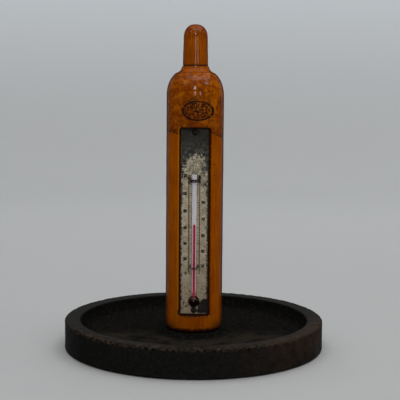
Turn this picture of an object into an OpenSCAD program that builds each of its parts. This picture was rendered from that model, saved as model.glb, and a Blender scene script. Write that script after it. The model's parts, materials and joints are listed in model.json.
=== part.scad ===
// Desk thermometer: a turned and painted model of a gas cylinder, with a spirit thermometer let into
// its front, standing in a round cast-iron tray.
// Origin at the centre of the tray's underside, +Z up, the scale faces -Y. Millimetres.

/* [Tray] */
// Outer diameter of the tray
tray_d = 130; // [100:1:160]
// Height of the rim above the table
tray_h = 14.2; // [11.5:0.1:25]
// Width of the rim's flat top
rim_w = 7.9; // [4:0.1:12]
// Height of the tray's floor above the table
tray_floor_z = 7; // [6.4:0.1:9]
// Radius of the inside corner between floor and rim
tray_fillet = 5; // [1:0.1:8]
// Rounding of the rim's edges
rim_round = 0.7; // [0.2:0.1:1.5]
// Height of the cast seat above the tray's floor
seat_h = 1.8; // [0.4:0.1:3]
// Width of the seat's margin around the cylinder
seat_margin = 0.9; // [0.3:0.1:6]

/* [Felt pad] */
// Width of the iron ring left around the pad
felt_border = 8; // [3:0.5:20]
// Thickness of the pad
felt_t = 1.5; // [1:0.1:2.5]
// How far the pad stands out below the iron
felt_proud = 0.3; // [0.1:0.1:0.8]
// Diameter of the pad's hole around the base screw
felt_hole_d = 20; // [17:1:30]

/* [Cylinder] */
// Diameter of the cylinder
cyl_d = 28.6; // [22:0.1:40]
// Height from the cylinder's foot to the seam under the cap
cyl_h = 131.6; // [128:0.1:180]
// Rounding of the foot's edge
foot_round = 3; // [0.5:0.1:5]
// Height of the shoulder's dome
shoulder_h = 12; // [8:0.1:18]
// Height of the neck above the shoulder's dome
neck_h = 2.4; // [2.4:0.1:8]
// Radius of the hollow curve from neck to shoulder
neck_fillet = 3.9; // [1:0.1:4.5]

/* [Cap] */
// Diameter of the cap at its mouth
cap_d = 12.6; // [11:0.1:16]
// Height of the cap
cap_h = 20.1; // [17:0.1:30]
// How much the cap's diameter tapers up to its dome
cap_taper = 0.7; // [0:0.1:2]
// Height of the cap's dome
cap_dome_h = 6.7; // [4:0.1:8]
// Diameter of the threaded stud that the cap screws on
stud_d = 4.8; // [4:0.1:6]
// Length of the stud inside the neck
stud_sunk = 11; // [6:0.5:14]
// Length of the stud inside the cap
stud_up = 9; // [6:0.5:12]
// Thickness of the washer under the cap
washer_t = 0.4; // [0.2:0.1:1]

/* [Recess and plate] */
// Width of the recess in the cylinder's front
slot_w = 15.2; // [13:0.1:19]
// Height of the recess
slot_h = 93.1; // [88:0.1:100]
// Height of the recess's lower edge above the cylinder's foot
slot_z = 8.5; // [8:0.1:14]
// Depth of the recess below the cylinder's front
slot_depth = 5.1; // [4.6:0.1:7]
// Rounding of the recess's corners
slot_round = 1.2; // [0.3:0.1:2]
// Thickness of the scale plate
plate_t = 0.6; // [0.4:0.1:1]
// Gap between the plate and the recess at each side
plate_gap_x = 0.8; // [0.2:0.1:1.5]
// Gap between the plate and the recess's upper end
plate_gap_top = 0.4; // [0.2:0.1:2]
// Gap between the plate and the recess's lower end
plate_gap_low = 0.7; // [0.2:0.1:2]
// Diameter of the round heads of the plate's two pins
pin_head_d = 3.1; // [2.4:0.1:3.4]
// Diameter of the pins
pin_d = 1.6; // [1:0.1:1.8]
// Length of the pins behind the plate's face
pin_l = 5.6; // [3:0.1:6]

/* [Thermometer tube] */
// Diameter of the glass tube
tube_d = 3.1; // [3:0.1:3.8]
// Diameter of the bulb
bulb_d = 5.2; // [4.4:0.1:5.4]
// Height of the bulb's centre above the plate's lower end
bulb_z = 6.2; // [6.1:0.1:10]
// Length of the tube from the bulb's centre to its closed top
tube_l = 65.5; // [64.5:0.1:78]
// Thickness of the bulb's glass
bulb_wall = 0.3; // [0.2:0.1:0.8]
// Diameter of the bore
bore_d = 1.1; // [0.6:0.1:1.2]
// Width of the white strip behind the bore
opal_w = 2.1; // [1:0.1:2.1]
// Thickness of the white strip
opal_t = 0.25; // [0.15:0.05:0.3]
// Diameter of the tie wire
wire_d = 0.7; // [0.4:0.1:1]
// Height of the lower tie above the bulb's centre
low_tie_z = 17.5; // [12:0.5:30]
// Height of the upper tie above the bulb's centre
high_tie_z = 60.4; // [40:0.1:61]

/* [Scale] */
// Temperature shown, in degrees Fahrenheit
reading_f = 64; // [0:1:120]
// Height of 0 degrees Fahrenheit above the bulb's centre
scale_zero_z = 14.2; // [10:0.1:14.6]
// Height of one degree at 0 degrees Fahrenheit
scale_pitch = 0.3562; // [0.3:0.0001:0.36]
// How much that height grows with each further degree, halved
scale_growth = 0.000408; // [0:0.000001:0.00042]

/* [Base screw] */
// Diameter of the screw that holds the cylinder
screw_d = 4.2; // [3.5:0.1:5]
// Length of the screw under its head
screw_l = 14; // [12:0.5:14.5]
// Diameter of the screw's head
screw_head_d = 8.4; // [7:0.1:9.5]
// Height of the screw's head
screw_head_h = 2.4; // [1.8:0.1:2.5]
// Outer diameter of the washer under the head
base_washer_d = 12.5; // [10:0.1:14]
// Thickness of that washer
base_washer_t = 0.8; // [0.5:0.1:0.9]
// Depth of the pocket for head and washer above the pad's recess
pocket_h = 2.7; // [2.4:0.1:3]

/* [Hidden] */
$fn = 96;

// Clearances
touch = 0.02;        // between faces that rest on each other but belong to different bodies
thread_fit = 0.05;   // between a thread's crest and the wall of its hole, on the radius
hole_gap = 0.2;      // between a screw or washer and the hole that it passes through
glass_gap = 0.05;    // between the glass and what touches it
wire_gap = 0.1;      // between the tie wire and its hole in the plate
cut = 1;             // how far a cutting shape runs past the face that it cuts
arc_n = 12;          // straight pieces in each turned curve
neck_lip = 0.3;      // how far the neck stands out beyond the cap, on the radius

// Tray
tray_r = tray_d / 2;
well_r = tray_r - rim_w;
seat_top = tray_floor_z + seat_h;
recess_top = felt_t;
pocket_top = recess_top + pocket_h;
pocket_r = base_washer_d / 2 + 4 * hole_gap;
well_fillet = min(tray_fillet, tray_h - tray_floor_z - rim_round);

// Cylinder and cap
cyl_r = cyl_d / 2;
neck_r = cap_d / 2 + neck_lip;
seam_z = seat_top + cyl_h;
dome_z = seam_z - neck_h - shoulder_h;
cap_z = seam_z + washer_t + 2 * touch;
cap_top = cap_z + cap_h;
cap_top_r = (cap_d - cap_taper) / 2;
cap_dome_power = 2.3;
stud_r = stud_d / 2;

// Recess and plate
recess_z = seat_top + slot_z;
recess_end = recess_z + slot_h;
slot_y = -(cyl_r - slot_depth);
plate_y = slot_y - plate_t;
plate_low = recess_z + plate_gap_low;
plate_high = recess_end - plate_gap_top;
plate_r = slot_w / 2 - plate_gap_x;
pin_margin = pin_head_d / 2 + 0.25;
pin_head_h = 0.35 * pin_head_d;
top_pin_z = plate_high - pin_margin;
low_pin_z = plate_low + pin_margin;

// Thermometer tube
tube_r = tube_d / 2;
tube_y = plate_y - tube_r - glass_gap;
bulb_r = bulb_d / 2;
bulb_zc = plate_low + bulb_z;
tube_top = bulb_zc + tube_l;
bore_r = bore_d / 2;
thread_r = bore_r - 0.07;
end_glass = 1.1;     // solid glass above the bore's end
tie_bend = 0.5;      // radius of the bends in the tie wire, at its middle
tie_tail = 1.7;      // straight end of the tie wire behind the plate
wire_r = wire_d / 2;
tie_r = tube_r + glass_gap + wire_r;
tail_y = slot_y + wire_r + touch;
column_z = bulb_zc + bulb_r;
meniscus_h = 0.4;

// Height of a temperature on the scale: spirit expands faster as it warms, so the degrees widen upwards.
function scale_z(f) = bulb_zc + scale_zero_z + scale_pitch * f + scale_growth * f * f;
level_z = scale_z(reading_f);

// Points along an arc of an ellipse, from angle a0 to a1.
function arc(cx, cy, rx, ry, a0, a1, n = arc_n) =
    [for (i = [0:n]) let (a = a0 + (a1 - a0) * i / n) [cx + rx * cos(a), cy + ry * sin(a)]];

// Outline of a rectangle with rounded corners.
function rounded(x0, y0, x1, y1, r) = concat(
    arc(x1 - r, y1 - r, r, r, 0, 90, 6),
    arc(x0 + r, y1 - r, r, r, 90, 180, 6),
    arc(x0 + r, y0 + r, r, r, 180, 270, 6),
    arc(x1 - r, y0 + r, r, r, 270, 360, 6));

// A turned solid from its half outline.
module turned(outline) {
    rotate_extrude() polygon(outline);
}

// Stands a flat outline up in the XZ plane at depth y and thickens it by t towards the front.
module upright(y, t) {
    translate([0, y, 0]) rotate([90, 0, 0]) linear_extrude(t) children();
}

// A round bar along Y, from depth y towards the back.
module bar_y(x, y, z, r, l) {
    translate([x, y, z]) rotate([-90, 0, 0]) cylinder(r = r, h = l);
}

// The iron tray, with its seat, its recess for the pad and its pocket for the base screw.
module tray() {
    e = rim_round;
    f = well_fillet;
    seat_r = cyl_r + seat_margin;
    color([0.09, 0.09, 0.085]) difference() {
        turned(concat(
            [[0, felt_proud]],
            arc(tray_r - e, felt_proud + e, e, e, 270, 360, 4),
            arc(tray_r - e, tray_h - e, e, e, 0, 90, 4),
            arc(well_r + e, tray_h - e, e, e, 90, 180, 4),
            arc(well_r - f, tray_floor_z + f, f, f, 360, 270),
            [[seat_r + seat_h, tray_floor_z], [seat_r, seat_top], [0, seat_top]]));
        translate([0, 0, -cut]) cylinder(r = tray_r - felt_border, h = recess_top + cut);
        translate([0, 0, -cut]) cylinder(r = pocket_r, h = pocket_top + cut);
        cylinder(r = screw_d / 2 + hole_gap, h = seat_top + cut);
    }
}

// The felt pad that the tray stands on.
module felt_pad() {
    color([0.13, 0.2, 0.13]) difference() {
        cylinder(r = tray_r - felt_border - hole_gap, h = felt_t);
        translate([0, 0, -cut]) cylinder(r = felt_hole_d / 2, h = felt_t + 2 * cut);
    }
}

// The washer between the base screw's head and the tray.
module base_washer() {
    color([0.6, 0.6, 0.58]) translate([0, 0, pocket_top - base_washer_t]) difference() {
        cylinder(r = base_washer_d / 2, h = base_washer_t);
        translate([0, 0, -cut]) cylinder(r = screw_d / 2 + hole_gap, h = base_washer_t + 2 * cut);
    }
}

// The slotted round-head wood screw that holds the cylinder down.
module base_screw() {
    head_z = pocket_top - base_washer_t;
    head_r = screw_head_d / 2;
    tip_h = 1.5 * screw_d;
    slot_cut = [screw_head_d + cut, 1.1, 0.45 * screw_head_h];
    color([0.55, 0.55, 0.53]) difference() {
        union() {
            turned(concat([[0, head_z]], arc(0, head_z, head_r, -screw_head_h, 0, 90)));
            translate([0, 0, head_z]) cylinder(d = screw_d, h = screw_l - tip_h);
            translate([0, 0, head_z + screw_l - tip_h])
                cylinder(d1 = screw_d, d2 = 0.4, h = tip_h);
        }
        translate([-slot_cut[0] / 2, -slot_cut[1] / 2, head_z - screw_head_h - touch]) cube(slot_cut);
    }
}

// The turned cylinder: foot, barrel, domed shoulder and neck, with everything let into it.
module cylinder_body() {
    a = cyl_r - neck_r;
    join_angle = 72;   // where the shoulder's dome gives way to the hollow curve
    flare = 63;        // how far the hollow curve's lower end leans from the vertical
    rise = 0.5;        // how far the hollow curve's centre lies above the neck's end
    hollow_r = min(neck_fillet, a * cos(join_angle) / (1 - cos(flare)),
        (neck_h + rise + shoulder_h * (1 - sin(join_angle))) / sin(flare));
    color([0.62, 0.30, 0.06]) difference() {
        turned(concat(
            [[0, seat_top]],
            arc(cyl_r - foot_round, seat_top + foot_round, foot_round, foot_round, 270, 360, 6),
            arc(neck_r, dome_z, a, shoulder_h, 0, join_angle, 16),
            arc(neck_r + hollow_r, seam_z + rise, hollow_r, hollow_r,
                180 + flare, 180 + asin(rise / hollow_r), 8),
            [[0, seam_z]]));
        upright(slot_y, slot_depth + cut)
            polygon(rounded(-slot_w / 2, recess_z, slot_w / 2, recess_end, slot_round));
        bar_y(0, slot_y - cut, bulb_zc, bulb_r + 2 * hole_gap, cut + bulb_r - tube_r + hole_gap);
        for (z = [low_tie_z, high_tie_z]) tie_pocket(bulb_zc + z);
        for (z = [low_pin_z, top_pin_z])
            bar_y(0, slot_y - cut, z, pin_d / 2 + thread_fit, pin_l - plate_t + cut + hole_gap);
        translate([0, 0, seat_top - cut])
            cylinder(r = screw_d / 2 + thread_fit, h = screw_l + pocket_top - seat_top + cut);
        translate([0, 0, seam_z - stud_sunk - hole_gap])
            cylinder(r = stud_r + thread_fit, h = stud_sunk + cut);
    }
}

// Space in the recess's floor for a tie's bent ends.
module tie_pocket(z) {
    half = tie_r + tie_bend + tie_tail + hole_gap;
    depth = wire_d + touch + hole_gap;
    translate([-half, slot_y - cut, z - wire_d]) cube([2 * half, depth + cut, 2 * wire_d]);
}

// The threaded stud, drawn at the diameter of its crests.
module cap_stud() {
    color([0.5, 0.49, 0.46]) translate([0, 0, seam_z - stud_sunk])
        cylinder(r = stud_r, h = stud_sunk + washer_t + 2 * touch + stud_up);
}

// The thin fibre washer under the cap.
module cap_washer() {
    color([0.12, 0.08, 0.06]) translate([0, 0, seam_z + touch]) difference() {
        cylinder(r = cap_d / 2 - hole_gap, h = washer_t);
        translate([0, 0, -cut]) cylinder(r = stud_r + hole_gap, h = washer_t + 2 * cut);
    }
}

// The domed cap, with its threaded hole.
module cap() {
    dome_low = cap_top - cap_dome_h;
    dome = [for (i = [0:16]) let (u = sin(90 * i / 16))
        [cap_top_r * pow(1 - pow(u, cap_dome_power), 1 / cap_dome_power), dome_low + cap_dome_h * u]];
    color([0.60, 0.29, 0.06]) difference() {
        turned(concat([[0, cap_z], [cap_d / 2, cap_z]], dome));
        translate([0, 0, cap_z - cut]) cylinder(r = stud_r + thread_fit, h = stud_up + 2 * cut);
    }
}

// The scale plate, with its holes for pins, tie wires and bulb.
module scale_plate() {
    corner = 0.6;
    color([0.66, 0.64, 0.55]) upright(slot_y, plate_t) difference() {
        polygon(rounded(-plate_r, plate_low, plate_r, plate_high, corner));
        for (z = [low_pin_z, top_pin_z]) translate([0, z]) circle(d = pin_d + 2 * thread_fit);
        for (z = [low_tie_z, high_tie_z], x = [-tie_r, tie_r])
            translate([x, bulb_zc + z]) circle(r = wire_r + wire_gap);
        translate([0, bulb_zc]) circle(r = bulb_r + hole_gap + glass_gap);
    }
}

// A round-headed pin at height z.
module plate_pin(z) {
    color([0.25, 0.22, 0.18]) {
        translate([0, plate_y, z]) rotate([90, 0, 0])
            turned(concat([[0, 0]], arc(0, 0, pin_head_d / 2, pin_head_h, 0, 90)));
        bar_y(0, plate_y, z, pin_d / 2, pin_l);
    }
}

module top_plate_pin() {
    plate_pin(top_pin_z);
}

module bottom_plate_pin() {
    plate_pin(low_pin_z);
}

// The glass: bulb and tube in one piece, with the bore, the bulb's hollow and the strip's slot.
module glass_tube() {
    meet = acos(tube_r / bulb_r);
    color([0.8, 0.85, 0.86, 0.5]) difference() {
        translate([0, tube_y, 0]) turned(concat(
            arc(0, bulb_zc, bulb_r, bulb_r, -90, meet, 20),
            arc(0, tube_top - tube_r, tube_r, tube_r, 0, 90)));
        translate([0, tube_y, bulb_zc]) sphere(r = bulb_r - bulb_wall);
        translate([0, tube_y, bulb_zc]) cylinder(r = bore_r, h = tube_l - end_glass);
        opal_strip();
    }
}

// The white strip's shape, from just above the bulb to just below the tube's top.
module opal_strip() {
    back = tube_y + bore_r + 0.15;
    low = bulb_zc + bulb_r + 2;
    translate([-opal_w / 2, back, low]) cube([opal_w, opal_t, tube_top - 2 * end_glass - low]);
}

module opal_backing() {
    color([0.9, 0.9, 0.88]) opal_strip();
}

// The spirit that fills the bulb and the bore's foot.
module spirit_bulb() {
    color([0.3, 0.01, 0.03]) translate([0, tube_y, bulb_zc]) {
        sphere(r = bulb_r - bulb_wall - glass_gap);
        cylinder(r = thread_r, h = column_z - bulb_zc);
    }
}

// The thread of spirit, which grows and shrinks.
module spirit_column() {
    color([0.75, 0.02, 0.15]) translate([0, tube_y, column_z])
        cylinder(r = thread_r, h = level_z - meniscus_h - column_z);
}

// The rounded end of the thread, which is read against the scale.
module spirit_meniscus() {
    color([0.8, 0.05, 0.2]) translate([0, tube_y, level_z - meniscus_h])
        turned(concat([[0, 0]], arc(0, 0, thread_r, meniscus_h, 0, 90, 6)));
}

// A wire tie: over the tube, through the plate, and bent outwards behind it.
module tie(z) {
    leg = tail_y - tie_bend - tube_y;
    color([0.16, 0.13, 0.12]) translate([0, tube_y, z]) {
        rotate([0, 0, 180]) rotate_extrude(angle = 180) translate([tie_r, 0]) circle(r = wire_r);
        for (side = [0, 1]) mirror([side, 0, 0]) {
            bar_y(tie_r, 0, 0, wire_r, leg);
            translate([tie_r + tie_bend, leg, 0]) rotate([0, 0, 90])
                rotate_extrude(angle = 90) translate([tie_bend, 0]) circle(r = wire_r);
            translate([tie_r + tie_bend, leg + tie_bend, 0]) rotate([0, 90, 0])
                cylinder(r = wire_r, h = tie_tail);
        }
    }
}

module upper_tie() {
    tie(bulb_zc + high_tie_z);
}

module lower_tie() {
    tie(bulb_zc + low_tie_z);
}

tray();
felt_pad();
base_washer();
base_screw();
cylinder_body();
cap_stud();
cap_washer();
cap();
scale_plate();
top_plate_pin();
bottom_plate_pin();
glass_tube();
opal_backing();
spirit_bulb();
spirit_column();
spirit_meniscus();
upper_tie();
lower_tie();
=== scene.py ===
# %% [markdown]
# # A desk thermometer shaped like a gas cylinder
# The real object looks like a turned wooden cylinder under aged amber gloss. It stands in a round
# cast-iron tray, and a spirit thermometer with its printed plate is let into its front.
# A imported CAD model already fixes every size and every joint. This lesson adds what CAD leaves out:
# worn edges, cast skin, printed figures, wire ties, paint, glass, and light to see them by.

# %% Load the frame
import json
import math

import bmesh
import bpy
from mathutils import Matrix, Vector, noise


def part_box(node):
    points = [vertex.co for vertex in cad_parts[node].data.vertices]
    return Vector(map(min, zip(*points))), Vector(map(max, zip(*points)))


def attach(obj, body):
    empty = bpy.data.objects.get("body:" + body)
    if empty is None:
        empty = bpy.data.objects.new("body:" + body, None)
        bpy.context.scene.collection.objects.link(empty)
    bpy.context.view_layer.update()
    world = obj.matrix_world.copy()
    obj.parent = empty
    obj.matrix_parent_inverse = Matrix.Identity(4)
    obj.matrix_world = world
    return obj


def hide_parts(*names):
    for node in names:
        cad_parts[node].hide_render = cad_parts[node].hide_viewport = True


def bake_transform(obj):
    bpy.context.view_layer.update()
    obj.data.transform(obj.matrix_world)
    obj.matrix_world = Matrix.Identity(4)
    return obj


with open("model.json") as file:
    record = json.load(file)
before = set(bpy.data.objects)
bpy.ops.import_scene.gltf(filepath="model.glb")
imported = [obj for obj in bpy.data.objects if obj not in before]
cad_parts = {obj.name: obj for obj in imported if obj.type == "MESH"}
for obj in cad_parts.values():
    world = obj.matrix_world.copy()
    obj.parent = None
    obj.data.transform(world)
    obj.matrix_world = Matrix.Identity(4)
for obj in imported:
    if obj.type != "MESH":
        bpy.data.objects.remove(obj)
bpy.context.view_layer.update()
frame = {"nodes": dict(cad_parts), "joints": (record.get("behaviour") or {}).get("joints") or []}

MM = 0.001

# %% [markdown]
# ## Sizes come from the CAD nodes
# Every piece has to sit exactly where its CAD node sits, so nothing is measured twice. Each node's
# box gives its lowest and highest corner, and the few sizes that a box can't tell, such as the
# depth of the recess, follow from the boxes of the pieces that lie in it.

# %% Read the main sizes
def span(node):
    low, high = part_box(node)
    return [v / MM for v in low], [v / MM for v in high]


(_, _, body_low), (body_r, _, body_top) = span("cylinder_body")
(_, plate_y, plate_low), (_, slot_y, plate_high) = span("scale_plate")
(_, _, cap_low), (cap_r, _, cap_top) = span("cap")
tray_low, (tray_r, _, rim_top) = span("tray")
(_, _, stud_low), (stud_r, _, stud_top) = span("cap_stud")
(_, _, bulb_low), (bulb_r, _, tube_top) = span("glass_tube")
(_, _, column_low), (thread_r, thread_back, column_top) = span("spirit_column")
tube_y = thread_back - thread_r
bulb_z = bulb_low + bulb_r
print(f"body r {body_r:.2f}, plate front y {plate_y:.2f}, tube axis y {tube_y:.2f}")

# %% [markdown]
# ## Mesh helpers
# Most of these pieces were turned on a lathe or bent from wire, so two makers cover them: one turns
# an outline about the vertical axis, the other sweeps a round section along a path. Both return
# plain lists in millimetres, which stay easy to push about before they become a mesh. The rest put
# points into an object, copy a CAD piece, and give a piece its body and finish.

# %% Mesh helpers
TINY = 1e-6            # a radius below this is a point on the axis
SAME_POINT = 1e-7      # points closer than this many metres are one
FLAT_ANGLE = 0.5       # faces that meet at less than this many degrees are one
WIRE_SIDES, END_REACH, END_SHARE = 8, 0.6, 0.5
BEVEL_STEPS = 3


def steps(first, last, count):
    return [first + (last - first) * i / count for i in range(count + 1)]


def cos_deg(degrees):
    return math.cos(math.radians(degrees))


def sin_deg(degrees):
    return math.sin(math.radians(degrees))


def wall_face(low, high, i, j):
    """The face between columns i and j of two rings, or nothing where it shrinks to a line."""
    corners = [low[i], low[j], high[j], high[i]]
    kept = [c for k, c in enumerate(corners) if c != corners[k - 1]]
    return [kept] if len(kept) > 2 else []


def turned(outline, columns, warp=None):
    """Points and faces of an outline of (radius, height) turned about Z. Radius 0 becomes a pole."""
    points, faces, rings = [], [], []
    for radius, height in outline:
        if radius < TINY:
            rings.append([len(points)] * columns)
            points.append((0, 0, height))
            continue
        rings.append(list(range(len(points), len(points) + columns)))
        for i in range(columns):
            angle = math.tau * i / columns
            r, z = warp(radius, height, angle) if warp else (radius, height)
            points.append((r * math.sin(angle), -r * math.cos(angle), z))
    for low, high in zip(rings, rings[1:]):
        for i in range(columns):
            faces += wall_face(low, high, i, (i + 1) % columns)
    return points, faces


def carried(path, start):
    """Each point of a path with two directions across it that twist as little as they can."""
    side = start.orthogonal().normalized()
    for k, point in enumerate(path):
        along = (path[min(k + 1, len(path) - 1)] - path[max(k - 1, 0)]).normalized()
        side = (side - along * side.dot(along)).normalized()
        yield point, side, along.cross(side)


def swept(path, radius):
    """Points and faces of a round wire along a path, with rounded ends."""
    path = [Vector(p) for p in path]
    first, last = path[0] - path[1], path[-1] - path[-2]
    centres = [path[0] + first.normalized() * radius * END_REACH] + path
    centres.append(path[-1] + last.normalized() * radius * END_REACH)
    shares = [END_SHARE] + [1] * len(path) + [END_SHARE]
    points, faces, sides = [], [], WIRE_SIDES
    for (centre, side, other), share in zip(carried(centres, path[1] - path[0]), shares):
        for i in range(sides):
            angle = math.tau * i / sides
            spoke = side * math.cos(angle) + other * math.sin(angle)
            points.append(centre + spoke * radius * share)
    for k in range(len(centres) - 1):
        for i in range(sides):
            j = (i + 1) % sides
            faces.append([k * sides + i, k * sides + j, (k + 1) * sides + j, (k + 1) * sides + i])
    faces.append(list(range(sides))[::-1])
    faces.append([len(points) - sides + i for i in range(sides)])
    return points, faces


def joined(*parts):
    """Several lists of points and faces as one."""
    points, faces = [], []
    for more_points, more_faces in parts:
        faces += [[i + len(points) for i in face] for face in more_faces]
        points += list(more_points)
    return points, faces


def place_object(name, data):
    """A new object, put into the scene."""
    made = bpy.data.objects.new(name, data)
    bpy.context.scene.collection.objects.link(made)
    return made


def plain_mesh(piece):
    """A piece's mesh as its modifiers leave it."""
    shown = piece.evaluated_get(bpy.context.evaluated_depsgraph_get())
    return bpy.data.meshes.new_from_object(shown)


def shade(mesh, sharp_over):
    mesh.shade_smooth()
    mesh.set_sharp_from_angle(angle=math.radians(sharp_over))


def reshape(mesh, *jobs):
    """Opens a mesh as a BMesh, lets each job change it, and writes it back."""
    bm = bmesh.new()
    bm.from_mesh(mesh)
    for job in jobs:
        job(bm)
    bm.to_mesh(mesh)
    bm.free()


def merge_points(bm):
    bmesh.ops.remove_doubles(bm, verts=bm.verts, dist=SAME_POINT)


def merge_flat_faces(bm):
    bmesh.ops.dissolve_limit(bm, angle_limit=math.radians(FLAT_ANGLE), verts=bm.verts, edges=bm.edges)


def turn_outward(bm):
    bmesh.ops.recalc_face_normals(bm, faces=bm.faces)


def make_piece(name, shape, sharp_over=35):
    """An object from points in millimetres, smooth except where faces meet at a sharp angle."""
    mesh = bpy.data.meshes.new(name)
    mesh.from_pydata([tuple(v * MM for v in p) for p in shape[0]], [], shape[1])
    mesh.validate()
    shade(mesh, sharp_over)
    print(f"{name}: {len(mesh.vertices)} points, {len(mesh.polygons)} faces")
    return place_object(name, mesh)


def copy_of(node, name, bevel=0.0, sharp_over=35):
    """A merged copy of a CAD node, with its edges softened by a bevel."""
    mesh = frame["nodes"][node].data.copy()
    mesh.materials.clear()
    reshape(mesh, merge_points, merge_flat_faces)
    piece = place_object(name, mesh)
    if bevel:
        soften = piece.modifiers.new("soften", "BEVEL")
        soften.width = bevel * MM
        soften.segments = BEVEL_STEPS
        soften.limit_method = "ANGLE"
        soften.angle_limit = math.radians(sharp_over)
        mesh = plain_mesh(piece)
        piece.modifiers.clear()
        piece.data = mesh
    mesh.name = name
    shade(mesh, sharp_over)
    return piece


def seat(piece, body, slot, finish, *nodes):
    """Gives a piece its finish, its body and the CAD nodes that it stands for. The slot is not used.
    """
    if finish:
        piece.data.materials.clear()
        piece.data.materials.append(finish)
    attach(piece, body)
    if nodes:
        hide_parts(*nodes)
    return piece


def ease(low, high, value):
    """0 below low, 1 above high and a smooth step between."""
    t = min(1.0, max(0.0, (value - low) / (high - low)))
    return t * t * (3 - 2 * t)


def rough(x, y, z, size, octaves=3, seed=0):
    """Smooth random value of about -1 to 1 whose bumps are size mm wide."""
    place = Vector((x / size + seed * 17.3, y / size - seed * 9.1, z / size + seed * 5.7))
    return noise.fractal(place, 1.0, 2.0, octaves, noise_basis="PERLIN_ORIGINAL")

# %% [markdown]
# ## Shader arithmetic
# A finish is mostly arithmetic on noise and height, and node trees hide arithmetic well. The class
# Wire wraps a socket so that Python's own operators add the Math nodes, and Bench builds one
# material and makes every other node through one method. Bench works in millimetres.

# %% Wire and Bench
class Wire:
    """A shader socket that takes part in arithmetic."""

    def __init__(self, bench, socket):
        self.bench, self.socket = bench, socket

    def _math(self, operation, *values):
        return self.bench.node("ShaderNodeMath", {"operation": operation}, dict(enumerate(values)))

    def size(self):
        return self._math("ABSOLUTE", self)

    def largest(self, other):
        return self._math("MAXIMUM", self, other)

    def ramp(self, low, high):
        """0 at low, 1 at high, smooth between. Low may be the larger number."""
        settings = {"interpolation_type": "SMOOTHSTEP"}
        values = {"Value": self, "From Min": low, "From Max": high}
        return self.bench.node("ShaderNodeMapRange", settings, values)


for sign, operation in (("add", "ADD"), ("sub", "SUBTRACT"), ("mul", "MULTIPLY"),
                        ("truediv", "DIVIDE"), ("pow", "POWER")):
    setattr(Wire, f"__{sign}__", lambda self, other, op=operation: self._math(op, self, other))
    setattr(Wire, f"__r{sign}__", lambda self, other, op=operation: self._math(op, other, self))


class Bench:
    """Builds the nodes of one finish."""

    def __init__(self, name):
        self.material = bpy.data.materials.new(name)
        self.material.use_nodes = True
        self.tree = self.material.node_tree
        self.tree.nodes.clear()
        place = self.node("ShaderNodeTexCoord", out="Object")
        scale = {"operation": "SCALE"}
        self.at = self.node("ShaderNodeVectorMath", scale, {0: place, "Scale": 1 / MM})
        self.x, self.y, self.z = self.axes(self.at)

    def node(self, kind, settings=None, values=None, out=0):
        made = self.tree.nodes.new(kind)
        for key, value in (settings or {}).items():
            setattr(made, key, value)
        for key, value in (values or {}).items():
            socket = made.inputs[key]
            if isinstance(value, Wire):
                self.tree.links.new(value.socket, socket)
            elif socket.type == "RGBA" and len(value) == 3:
                socket.default_value = (*value, 1)
            else:
                socket.default_value = value
        return Wire(self, made.outputs[out])

    def axes(self, vector):
        return [self.node("ShaderNodeSeparateXYZ", {}, {0: vector}, out=i) for i in range(3)]

    def stretched(self, x, y, z):
        return self.node("ShaderNodeVectorMath", {"operation": "MULTIPLY"}, {0: self.at, 1: (x, y, z)})

    def grain(self, size, detail=3, where=None, roughness=0.55):
        """Noise of 0 to 1 with features about size mm wide."""
        values = {"Vector": where or self.at, "Scale": 1 / size, "Detail": detail,
                  "Roughness": roughness}
        return self.node("ShaderNodeTexNoise", {}, values)

    def cells(self, size, feature="F1", where=None):
        values = {"Vector": where or self.at, "Scale": 1 / size}
        return self.node("ShaderNodeTexVoronoi", {"feature": feature}, values)

    def attribute(self, name):
        return self.node("ShaderNodeAttribute", {"attribute_name": name}, out="Fac")

    def facing(self):
        """The surface's own direction, up to 1 where it faces up."""
        normal = self.node("ShaderNodeNewGeometry", out="Normal")
        return self.node("ShaderNodeSeparateXYZ", {}, {0: normal}, out=2)

    def grazing(self):
        """0 where the surface is seen squarely, 1 where it is seen edge on."""
        return self.node("ShaderNodeLayerWeight", {}, {"Blend": 0.5}, out="Facing")

    def mix(self, one, other, share):
        values = {0: share, 6: one, 7: other}
        return self.node("ShaderNodeMix", {"data_type": "RGBA"}, values, out=2)

    def coats(self, colour, *layers):
        """Lays coats of (paint, share) over a colour, one after the other."""
        for paint, share in layers:
            colour = self.mix(colour, paint, share)
        return colour

    def front(self):
        """1 on the side that faces the onlooker, 0 behind."""
        return self.y.ramp(-1, -3)

    def spot(self, x, z, radius, soft=0.3):
        """A round spot on the front, 1 inside, centred at (x, z)."""
        away = ((self.x - x) ** 2 + (self.z - z) ** 2) ** 0.5
        return away.ramp(radius + soft, radius - soft) * self.front()

    def bumps(self, *layers):
        """Chains Bump nodes from pairs of a height and its depth in mm."""
        normal = None
        for height, depth in layers:
            values = {"Height": height, "Distance": depth * MM, "Strength": 1}
            if normal:
                values["Normal"] = normal
            normal = self.node("ShaderNodeBump", {}, values)
        return normal

    def surface(self, values):
        shader = self.node("ShaderNodeBsdfPrincipled", {}, values)
        self.node_output(shader)
        return self.material

    def node_output(self, shader):
        end = self.tree.nodes.new("ShaderNodeOutputMaterial")
        self.tree.links.new(shader.socket, end.inputs["Surface"])
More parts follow.
